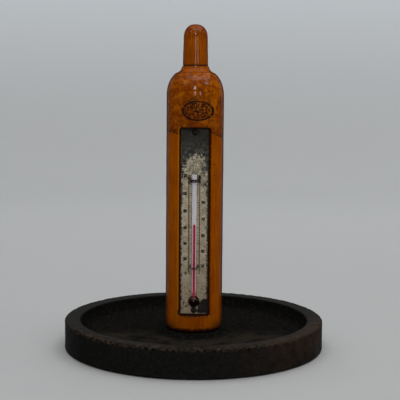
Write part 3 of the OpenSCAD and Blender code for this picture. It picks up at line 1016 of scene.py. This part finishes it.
def at_tube(shape):
    """Moves a turned shape onto the tube's axis."""
    return [(x, y + tube_y, z) for x, y, z in shape[0]], shape[1]


def ball_outline(ball, rod):
    """Half outline of the bulb's ball, from its lowest point to where a rod leaves it."""
    meet = math.degrees(math.acos(rod / ball))
    run = [(ball * cos_deg(a), bulb_z + ball * sin_deg(a)) for a in steps(-90, meet, 30)]
    return [(0, bulb_z - ball)] + run[1:]


def ball_and_rod(ball, rod, top, dome):
    """Half outline of a ball that runs into a rod with a rounded or a flat top."""
    run = ball_outline(ball, rod)
    run += [(rod, z) for z in steps(run[-1][1], top - dome, 50)[1:]]
    run += [(rod * cos_deg(a), top - dome + dome * sin_deg(a))
            for a in steps(0, 90, 6)[1:-1]]
    return run + [(0, top)]


def glass_shape():
    outer = at_tube(turned(ball_and_rod(bulb_r, TUBE_R, tube_top, TUBE_R), 64))
    hollow = at_tube(turned(
        ball_and_rod(bulb_r - BULB_WALL, BORE_R, tube_top - END_GLASS, BORE_END), 64))
    return joined(outer, (hollow[0], [face[::-1] for face in hollow[1]]))


tube_glass = clear_glass("tube_glass", (0.985, 0.99, 0.99), 0.35)
bore_glass = clear_glass("bore_glass", (0.955, 0.935, 0.965), 0.1)
bulb_glass = clear_glass("bulb_glass", (0.80, 0.72, 0.74), 0.22)
tube = make_piece("glass_thermometer", glass_shape(), 60)
seat(tube, "stand", "tube_glass", tube_glass, "glass_tube")
for finish in (bore_glass, bulb_glass):
    tube.data.materials.append(finish)
BORE_SLOT, BULB_SLOT = 1, 2
for face in tube.data.polygons:
    x, y, z = face.center / MM
    if z < bulb_z + bulb_r:
        face.material_index = BULB_SLOT
    elif math.hypot(x, y - tube_y) < BORE_R + 0.05 and bulb_z + bulb_r < z < tube_top - 1.05:
        face.material_index = BORE_SLOT
tube.visible_shadow = False

# %% White strip and spirit
SEEN_R, SPIRIT_GAP, FOOT_GAP = BORE_R - 0.01, 0.04, 0.02
PALE_RED = (0.95, 0.04, 0.14)


def strip_finish():
    b = Bench("opal_strip")
    cloud = b.grain(1.2, 3, b.stretched(1, 1, 0.2))
    colour = b.mix((0.84, 0.82, 0.80), (0.90, 0.89, 0.89), cloud)
    return b.surface({"Base Color": colour, "Roughness": cloud * 0.2 + 0.3,
                      "Normal": b.bumps((cloud, 0.005))})


def spirit_finish(name, deep, bright, low_glow):
    b = Bench(name)
    swirl = b.grain(0.9, 2, b.stretched(1, 1, 0.15))
    colour = b.mix(deep, bright, swirl.ramp(0.3, 0.7))
    if low_glow:
        colour = b.mix(colour, PALE_RED, b.z.ramp(37, 29) * 0.6)
    return b.surface({"Base Color": colour, "Roughness": swirl * 0.1 + 0.15,
                      "Specular IOR Level": 0.2})


seat(copy_of("opal_backing", "white_strip", 0.04), "stand", "opal", strip_finish(), "opal_backing")
red_spirit = spirit_finish("red_spirit", (0.60, 0.006, 0.062), (0.70, 0.010, 0.080), True)
dark_spirit = spirit_finish("dark_spirit", (0.008, 0.001, 0.0014), (0.030, 0.002, 0.0035), False)


def thread_shape(low, high, rounded):
    if rounded:
        rows = [(SEEN_R, low)]
        rows += [(SEEN_R * cos_deg(a), low + (high - low) * sin_deg(a)) for a in (15, 30, 45, 60, 75)]
    else:
        rows = [(SEEN_R, z) for z in steps(low, high, 36)]
    return at_tube(turned([(0, low)] + rows + [(0, high)], 24))


(_, _, meniscus_low), (_, _, meniscus_high) = span("spirit_meniscus")
thread = make_piece("spirit_thread", thread_shape(column_low, column_top, False), 50)
thread.data.materials.append(red_spirit)
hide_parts("spirit_column")
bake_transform(thread)
top_of_thread = make_piece("thread_meniscus", thread_shape(meniscus_low, meniscus_high, True), 50)
seat(top_of_thread, "spirit_level", "thread_spirit", red_spirit, "spirit_meniscus")

# %% [markdown]
# ## The bulb
# The full bulb looks almost black with a red heart. Its spirit is a small turned shape: a ball that
# narrows into the foot of the bore. Glass this thin shows no wall, so the ball nearly fills it.

# %% Bulb spirit
def bulb_shape():
    rows = ball_outline(bulb_r - BULB_WALL - SPIRIT_GAP, thread_r)
    top = column_low - FOOT_GAP
    return at_tube(turned(rows + [(thread_r, top), (0, top)], 48))


seat(make_piece("bulb_spirit", bulb_shape(), 60), "stand", "bulb_spirit", dark_spirit, "spirit_bulb")

# %% [markdown]
# ## The wire ties
# Thin iron wire holds the tube. Each tie is two strands twisted into a cord, bent over the tube,
# pushed through the plate and spread out behind it. At the upper tie the ends come forward again
# and are wound round the cord in a rough clump. The lower one is a loose crossing of the strands.
# A path with two strands wound round it is quick to build from plain vectors.

# %% Twisted wire
WIRE_R, CORD_SPREAD = 0.20, 0.16
CORD_REACH = 1.95        # how far a cord keeps from the tube's axis
BEHIND_PLATE = slot_y + 0.25
LEG_STEPS = 10


def smooth_path(corners):
    """A Catmull-Rom curve through corner points."""
    pts = [Vector(c) for c in corners]
    pts = [pts[0] * 2 - pts[1]] + pts + [pts[-1] * 2 - pts[-2]]
    run = []
    for a, b, c, d in zip(pts, pts[1:], pts[2:], pts[3:]):
        for i in range(LEG_STEPS):
            t = i / LEG_STEPS
            run.append(((b * 2) + (c - a) * t + (a * 2 - b * 5 + c * 4 - d) * t ** 2
                        + (b * 3 - a - c * 3 + d) * t ** 3) / 2)
    return run + [pts[-2]]


def twisted(corners, turns, spread=CORD_SPREAD, radius=WIRE_R):
    """Two strands wound round a path."""
    path = smooth_path(corners)
    strands = []
    for start in (0, math.pi):
        run = []
        for k, (p, one, other) in enumerate(carried(path, path[1] - path[0])):
            angle = start + math.tau * turns * k / (len(path) - 1)
            run.append(p + (one * math.cos(angle) + other * math.sin(angle)) * spread)
        strands.append(swept(run, radius))
    return joined(*strands)


def wire_finish():
    b = Bench("rusty_tie_wire")
    patch = b.grain(0.8, 4).ramp(0.42, 0.60)
    colour = b.mix((0.190, 0.135, 0.125), (0.050, 0.020, 0.016), patch)
    return b.surface({"Base Color": colour, "Metallic": 0.75, "Roughness": patch * 0.3 + 0.34,
                      "Normal": b.bumps((b.grain(0.2, 3), 0.03))})


def middle_height(node):
    (_, _, low), (_, _, high) = span(node)
    return (low + high) / 2


def over_tube(z, lean=0.0):
    """Corner points of a wire over the tube, from behind the plate to behind the plate."""
    reach, back = CORD_REACH, BEHIND_PLATE
    run = [(-reach - 1.5, back, z - lean), (-reach, back - 0.1, z - lean), (-reach, plate_y, z - lean)]
    for a in steps(180, 360, 6):
        t = (a - 180) / 180
        run.append((reach * cos_deg(a), tube_y + reach * sin_deg(a), z - lean + 2 * lean * t))
    run += [(reach, plate_y, z + lean), (reach, back - 0.1, z + lean), (reach + 1.5, back, z + lean)]
    return run


wire = wire_finish()
upper_z, lower_z = middle_height("upper_tie"), middle_height("lower_tie")
print(f"ties at {upper_z:.1f} and {lower_z:.1f} mm")

# %% Upper and lower tie
def strand(radius, *corners):
    return swept(smooth_path(corners), radius)


def upper_tie():
    z, front, side = upper_z, tube_y - CORD_REACH, plate_y - 0.45
    clump = [
        twisted(over_tube(z), 9),
        strand(0.25, (-2.2, side, z - 0.9), (-2.15, tube_y - 0.4, z - 0.75),
               (-1.2, front - 0.05, z - 0.55), (0.1, front - 0.35, z - 0.62),
               (1.3, front, z - 0.5), (2.2, tube_y - 0.3, z - 0.2), (2.45, side, z + 0.5)),
        strand(0.23, (-2.5, side, z + 0.9), (-2.25, tube_y - 0.2, z + 0.6),
               (-1.1, front - 0.1, z + 0.5), (0.3, front - 0.32, z + 0.45),
               (1.5, front + 0.15, z + 0.72), (2.25, tube_y, z + 0.95), (2.7, side, z + 1.5)),
    ]
    for way in (-1, 1):
        loop = [(way * (2.55 + 0.55 * math.cos(a)), side - 0.28 + 0.12 * math.sin(3 * a),
                 z + 0.35 + 0.15 * way + 1.75 * math.sin(a)) for a in steps(0.4, 5.9, 12)]
        clump.append(swept(loop, 0.27))
        clump.append(strand(0.16, (way * 2.3, side - 0.5, z + 0.3),
                            (way * 3.0, side - 0.2, z + 1.0), (way * 3.1, side, z + 1.7)))
    return joined(*clump)


def lower_tie():
    z, front, side = lower_z, tube_y - CORD_REACH, plate_y - 0.3
    zigzag = strand(
        0.24, (-2.0, side, z + 1.0), (-1.9, tube_y + 0.2, z + 0.8), (-1.5, tube_y - 1.2, z - 0.3),
        (-0.9, front + 0.1, z - 0.85), (-0.1, front - 0.25, z - 0.15), (0.7, front, z - 0.9),
        (1.5, tube_y - 1.2, z - 0.4), (1.95, tube_y + 0.2, z + 0.6), (2.1, side, z + 0.9))
    return joined(twisted(over_tube(z - 0.1, 0.25), 8, 0.13, 0.14), zigzag)


for node, shape in (("upper_tie", upper_tie()), ("lower_tie", lower_tie())):
    seat(make_piece(f"{node}_wire", shape, 60), "stand", "wire", wire, node)

# %% [markdown]
# ## The cast-iron tray
# The tray is a sand casting, turned roughly and blackened. Casting skin is bumpy at several sizes at
# once, its outer rim edge is chipped along the front, and dust lies on all that faces up. The shape
# is a fine turned grid, so that the chips and the skin can be real dents in the mesh. The finish
# puts dust where the surface faces up and rust where the blacking has gone.

# %% Tray outline
WELL_R, TRAY_FLOOR, RIM_ROUND, FILLET = tray_r - 7.9, 7.0, 0.7, 5.0
SEAT_R, SEAT_TOP = body_r + 0.9, body_low
PAD_BORDER, PAD_RECESS, POCKET_R, POCKET_TOP, HOLE_R = 8.0, 1.5, 7.05, 4.2, 2.3
CHIP_IN, CHIP_DOWN = 0.75, 0.60


def round_corner(cx, cz, r, first, last, count):
    return [(cx + r * cos_deg(a), cz + r * sin_deg(a))
            for a in steps(first, last, count)]


def tray_outline():
    base, e = tray_low[2], RIM_ROUND
    run = [(HOLE_R, SEAT_TOP), (HOLE_R, POCKET_TOP), (POCKET_R, POCKET_TOP), (POCKET_R, PAD_RECESS)]
    run += [(r, PAD_RECESS) for r in steps(POCKET_R, tray_r - PAD_BORDER, 5)[1:]]
    run += [(tray_r - PAD_BORDER, base)]
    run += [(r, base) for r in steps(tray_r - PAD_BORDER, tray_r - e, 5)[1:-1]]
    run += round_corner(tray_r - e, base + e, e, 270, 360, 4)
    run += [(tray_r, z) for z in steps(base + e, rim_top - e, 24)[1:-1]]
    run += round_corner(tray_r - e, rim_top - e, e, 0, 90, 6)
    run += [(r, rim_top) for r in steps(tray_r - e, WELL_R + e, 16)[1:-1]]
    run += round_corner(WELL_R + e, rim_top - e, e, 90, 180, 6)
    run += round_corner(WELL_R - FILLET, TRAY_FLOOR + FILLET, FILLET, 360, 270, 10)
    seat_h = SEAT_TOP - TRAY_FLOOR
    run += [(r, TRAY_FLOOR) for r in steps(WELL_R - FILLET, SEAT_R + 1.3 * seat_h, 34)[1:]]
    run += [(SEAT_R + 0.75 * seat_h, TRAY_FLOOR + 0.12 * seat_h),
            (SEAT_R + 0.35 * seat_h, TRAY_FLOOR + 0.5 * seat_h)]
    run += [(SEAT_R + 0.05, SEAT_TOP - 0.2), (SEAT_R - 0.25, SEAT_TOP)]
    run += [(HOLE_R + 3, SEAT_TOP), (HOLE_R, SEAT_TOP)]
    return run


def tray_warp(r, z, angle):
    """Casting skin, and chips along the outer rim's edge that are deepest at the front."""
    x, y = r * math.sin(angle), -r * math.cos(angle)
    if r < SEAT_R + 0.2 or z < tray_low[2] + 0.01:
        return r, z
    skin = 0.10 * rough(x, y, z, 6) + 0.09 * rough(x, y, z, 1.3, 2, 2) - 0.12
    outer = ease(tray_r - 0.05, tray_r, r) if z < rim_top - RIM_ROUND else 0
    if outer and z > tray_low[2] + RIM_ROUND:
        r += skin * outer
    at_edge = ease(1.6, 0.1, math.hypot(tray_r - r, rim_top - z))
    if at_edge > 0 and z > rim_top - 2:
        front = 0.30 + 0.70 * ease(-0.2, 0.75, math.cos(angle))
        bite = max(0, rough(x, y, 0, 2.6, 4, 3) + 0.12) + 0.6 * max(0, rough(x, y, z, 0.9, 2, 4))
        r -= CHIP_IN * bite * at_edge * front
        z -= CHIP_DOWN * bite * at_edge * front
    if z > rim_top - RIM_ROUND:
        z += 0.5 * skin
    if r < WELL_R - 0.3:
        z += skin * ease(WELL_R, WELL_R - 1.5, r) * ease(SEAT_R, SEAT_R + 3, r)
    return min(r, tray_r), min(z, rim_top)


# %% Iron finish
IRON = (0.0080, 0.0079, 0.0075)
# this colour serves for settled dust and also for a painted sheen on the rim's top
DUST_AND_SHEEN = (0.022, 0.018, 0.014)
IRON_RUST = (0.085, 0.036, 0.018)
BARE = (0.048, 0.032, 0.022)
IRON_LIGHT, SCUFF = (0.0125, 0.0118, 0.0108), (0.021, 0.019, 0.016)
# painted shade for the inside of the well, and for the front of the rim
WELL_SHADE, FRONT_RIM_SHADE = (0.0030, 0.0031, 0.0027), (0.009, 0.0078, 0.0065)
CHIP_SHADE, TAN = (0.003, 0.0025, 0.002), (0.036, 0.022, 0.014)


def iron_finish():
    b = Bench("blackened_cast_iron")
    skin, broad, grit = b.grain(1.1, 5), b.grain(9, 4), b.grain(0.35, 3)
    colour = b.mix(IRON, IRON_LIGHT, skin.ramp(0.4, 0.65))
    out = (b.x ** 2 + b.y ** 2) ** 0.5
    well = out.ramp(WELL_R + 1, WELL_R - 1)
    # Painted shade: the inside of the well is darkened.
    colour = b.mix(colour, WELL_SHADE, well * 0.75)
    up = b.facing().ramp(0.35, 0.95)
    settled = broad.ramp(0.35, 0.60) * 0.50 + grit.ramp(0.45, 0.65) * 0.35
    middle_floor = out.ramp(56, 40) * out.ramp(16, 22) * b.y.ramp(6, -14) * 1.6 + 0.06
    colour = b.mix(colour, DUST_AND_SHEEN, up * settled * middle_floor * b.z.ramp(rim_top, rim_top - 3) * 0.9)
    mottle = b.grain(1.6, 6, roughness=0.7).ramp(0.50, 0.62)
    brushed = b.grain(2.2, 5).ramp(0.46, 0.66)
    near_edge = out.ramp(tray_r - 7.5, tray_r - 3) * b.z.ramp(rim_top - 2.0, rim_top - 0.6)
    flaked = b.grain(1.5, 6, roughness=0.72)
    front_share = b.y.ramp(-5, -45)
    chips = near_edge * flaked.ramp(0.51, 0.55) * (0.10 + front_share * 0.90)
    holes = near_edge * flaked.ramp(0.49, 0.45) * front_share
    on_rim = out.ramp(tray_r - 9, tray_r - 3)
    tan = b.x.ramp(5, 55) * b.y.ramp(10, -20) * b.grain(4, 5, roughness=0.7).ramp(0.36, 0.60)
    stains = b.grain(5, 5, roughness=0.7).ramp(0.50, 0.68)
    right = b.x.ramp(25, 50) * b.y.ramp(20, -10) * on_rim
    spots = b.cells(3.3).ramp(0.13, 0.07) * b.grain(6, 1).ramp(0.5, 0.6)
    colour = b.coats(
        # the rim's top is lightened along brushed streaks, partly wear and partly painted sheen
        colour, (SCUFF, mottle * 0.5), (DUST_AND_SHEEN, brushed * b.z.ramp(rim_top - 1.5, rim_top) * 0.35),
        # painted shade along the front of the rim's outer edge
        (FRONT_RIM_SHADE, near_edge * front_share * 0.8), (BARE, chips * 0.9), (CHIP_SHADE, holes * 0.95),
        (TAN, tan * on_rim * 0.7), (IRON_RUST, right * stains * b.z.ramp(3, 9) * 0.45),
        (IRON_RUST, spots * 0.35))
    dull = 0.34 + grit * 0.16 + well * 0.45 + chips * 0.2
    return b.surface({"Base Color": colour, "Roughness": dull, "Specular IOR Level": 0.0,
                      "Coat Weight": (1 - well) * (1 - chips) * 0.10, "Coat Roughness": 0.35,
                      "Normal": b.bumps((skin, 0.16), (grit, 0.06))})


iron = iron_finish()
tray = make_piece("iron_tray", turned(tray_outline(), 720, tray_warp), 55)
seat(tray, "stand", "iron", iron, "tray")

# %% [markdown]
# ## Under the tray
# A green felt disc is glued into the underside so that the iron doesn't scratch the table. The wood
# screw that holds the cylinder passes through a washer in a pocket at the centre. Felt is a mat of
# short fibres: a grid with a little random height, and a finish with fine crossed noise, show it.

# %% Felt, screw and washer
_, (felt_r, _, felt_t) = span("felt_pad")
FELT_HOLE, FELT_LOW, FUZZ_HEIGHT, FUZZ_SIZE = 10.0, 0.05, 0.07, 1.1
FELT, FELT_LIGHT, FELT_DIRT = (0.010, 0.030, 0.014), (0.035, 0.075, 0.035), (0.060, 0.055, 0.040)


def felt_shape():
    rows = [(FELT_HOLE, felt_t), (FELT_HOLE, 0.25), (FELT_HOLE + 0.3, FELT_LOW)]
    rows += [(r, FELT_LOW) for r in steps(FELT_HOLE + 0.6, felt_r - 0.6, 60)]
    rows += [(felt_r - 0.2, 0.1), (felt_r, 0.35), (felt_r, felt_t), (FELT_HOLE, felt_t)]

    def fuzz(r, z, angle):
        if z < 0.3:
            x, y = r * math.sin(angle), -r * math.cos(angle)
            z = max(0.0, z + FUZZ_HEIGHT * rough(x, y, 0, FUZZ_SIZE, 3, 6))
        return r, z

    return turned(rows, 300, fuzz)


def felt_finish():
    b = Bench("green_felt")
    along, across = [b.grain(0.4, 4, b.stretched(*run)) for run in ((1, 0.25, 1), (0.25, 1, 1))]
    mat = along.largest(across)
    colour = b.coats(FELT, (FELT_LIGHT, mat.ramp(0.45, 0.7)),
                     (FELT_DIRT, b.grain(14, 4).ramp(0.55, 0.75) * 0.5))
    return b.surface({"Base Color": colour, "Roughness": mat * 0.1 + 0.88, "Sheen Weight": 0.4,
                      "Normal": b.bumps((mat, 0.12))})


seat(make_piece("felt_disc", felt_shape(), 50), "stand", "felt", felt_finish(), "felt_pad")

screw_steel = steel("aged_screw_steel", (0.30, 0.28, 0.25), (0.10, 0.065, 0.04))
seat(copy_of("base_washer", "screw_washer", 0.10), "stand", "steel", screw_steel, "base_washer")
(_, _, screw_low), _ = span("base_screw")
SCREW_SHANK, SCREW_PITCH, SCREW_GROOVE, TIP_LENGTH, TIP_NARROWING = 2.1, 1.6, 0.5, 6.3, 0.88
THREAD_LOW = screw_low + 2.4 + 3     # above the cone of the head and a plain neck
HEAD_OVERLAP = 0.05


def screw_taper(z):
    return 1 - TIP_NARROWING * ease(screw_top - TIP_LENGTH, screw_top, z)


def cut_above_head(bm):
    """Keeps the head and the neck of the screw, and closes the cut."""
    cut = bmesh.ops.bisect_plane(bm, geom=bm.verts[:] + bm.edges[:] + bm.faces[:], clear_outer=True,
                                 plane_co=(0, 0, (THREAD_LOW + HEAD_OVERLAP) * MM), plane_no=(0, 0, 1))
    bmesh.ops.holes_fill(bm, edges=[e for e in cut["geom_cut"] if isinstance(e, bmesh.types.BMEdge)])


shank = threaded(THREAD_LOW, screw_top, SCREW_SHANK, SCREW_PITCH, SCREW_GROOVE, 32, screw_taper)
head = copy_of("base_screw", "wood_screw_head", 0.0, 40)
reshape(head.data, cut_above_head, turn_outward)
shade(head.data, 40)
seat(head, "stand", "steel", screw_steel, "base_screw")
seat(make_piece("wood_screw_thread", shank, 60), "stand", "steel", screw_steel)

# %% [markdown]
# ## Stage, light and camera
# A pale paper bowl surrounds the object, so the floor runs into the background without a line from
# every side. Its colour is painted lighter towards the back and the top as painted light, and darker
# on the onlooker's side as painted shade. One wide soft lamp hangs overhead, five small ones in front
# give the sparkle and the upright highlights, and the paper returns the rest. The camera looks
# slightly down from the front.

# %% Paper bowl
FLOOR_R, BEND_R, WALL_H = 0.75, 0.45, 1.5     # metres
# painted light towards the back and the top of the bowl, painted shade on the onlooker's side
PAPER, PAPER_LIGHT, PAPER_FAR_GLOW = (0.402, 0.400, 0.398), (0.416, 0.414, 0.411), (0.450, 0.452, 0.452)
PAPER_UPPER_GLOW, PAPER_FRONT_SHADE = (0.760, 0.800, 0.830), (0.16, 0.16, 0.16)


def paper():
    b = Bench("pale_paper")
    # Painted light brightens the paper towards the back and the top; painted shade darkens its front.
    colour = b.coats(PAPER, (PAPER_LIGHT, b.grain(30, 3)), (PAPER_FAR_GLOW, b.y.ramp(100, 650)),
                     (PAPER_UPPER_GLOW, b.z.ramp(40, 480)),
                     (PAPER_FRONT_SHADE, b.y.ramp(-250, -900) * b.z.ramp(20, 250)))
    return b.surface({"Base Color": colour, "Roughness": 0.9, "Specular IOR Level": 0.1})


def bowl():
    rows = [(0, 0)] + [(r, 0) for r in steps(0.15, FLOOR_R, 4)]
    rows += [(FLOOR_R + BEND_R * sin_deg(a), BEND_R * (1 - cos_deg(a)))
             for a in steps(0, 90, 18)[1:]]
    rows += [(FLOOR_R + BEND_R, WALL_H)]
    points, faces = turned([(r / MM, z / MM) for r, z in rows], 96)
    return points, [face[::-1] for face in faces]


backdrop = make_piece("paper_bowl", bowl(), 80)
backdrop.data.materials.append(paper())
backdrop.visible_glossy = False

# %% Lamps
SHOULDER_AIM = (0, 0, 0.12)
LAMPS = (     # name, place, aim, width and height in metres, watts
    ("overhead", (0.16, 0.05, 1.45), (0, 0, 0.08), 1.7, None, 18),
    ("front_sparkle", (-0.02, -1.05, 0.60), SHOULDER_AIM, 0.20, None, 1.3),
    ("middle_strip", (0.0, -1.0, 0.25), SHOULDER_AIM, 0.07, 0.18, 0.24),
    ("right_strip", (0.40, -1.0, 0.25), SHOULDER_AIM, 0.07, 0.18, 0.24),
    ("left_shoulder", (-0.85, -0.70, 0.95), SHOULDER_AIM, 0.22, None, 0.35),
    ("right_shoulder", (0.95, -0.60, 0.95), SHOULDER_AIM, 0.24, None, 0.55),
)

for name, place, aim, size, height, watts in LAMPS:
    light = bpy.data.lights.new(name, "AREA")
    light.energy, light.size = watts, size
    if height:
        light.shape, light.size_y = "RECTANGLE", height
    lamp = place_object(name, light)
    lamp.location = place
    lamp.rotation_euler = (Vector(aim) - Vector(place)).to_track_quat("-Z", "Y").to_euler()


# %% Room light
ROOM_DARK, ROOM_LIGHT = (0.004, 0.004, 0.004), (0.53, 0.55, 0.57)


class RoomBench(Bench):
    """The same arithmetic for the world's light, with a direction instead of a place."""

    def __init__(self, name):
        self.world = bpy.data.worlds.new(name)
        self.world.use_nodes = True
        self.tree = self.world.node_tree
        self.tree.nodes.clear()
        way = self.node("ShaderNodeTexCoord", out="Generated")
        self.x, self.y, self.z = self.axes(way)


def room():
    """A bright studio behind and above, and a dim room on the side of the onlooker."""
    b = RoomBench("room")
    behind = b.y.ramp(0.45, 1.0).largest(b.z.ramp(0.45, 0.9) * 0.6)
    colour = b.mix(ROOM_DARK, ROOM_LIGHT, behind)
    light = b.node("ShaderNodeBackground", {}, {"Color": colour, "Strength": 1.0})
    end = b.tree.nodes.new("ShaderNodeOutputWorld")
    b.tree.links.new(light.socket, end.inputs["Surface"])
    return b.world


bpy.context.scene.world = room()

# %% Camera
ELEVATION, TILT = math.radians(6.14), math.radians(0.45)
TARGET, DISTANCE, LENS = Vector((2.73, 0, 73.9)) * MM, 0.5, 89.64
forward = Vector((0, math.cos(ELEVATION), -math.sin(ELEVATION)))
camera = place_object("camera", bpy.data.cameras.new("camera"))
camera.location = TARGET - forward * DISTANCE
camera.rotation_mode = "QUATERNION"
turn_level = Matrix.Rotation(TILT, 3, "Z").to_quaternion()
camera.rotation_quaternion = forward.to_track_quat("-Z", "Y") @ turn_level
camera.data.lens = LENS
camera.data.clip_start = 0.01
bpy.context.scene.camera = camera
bpy.context.scene.view_settings.view_transform = "Standard"
print("camera at", [round(v, 4) for v in camera.location])
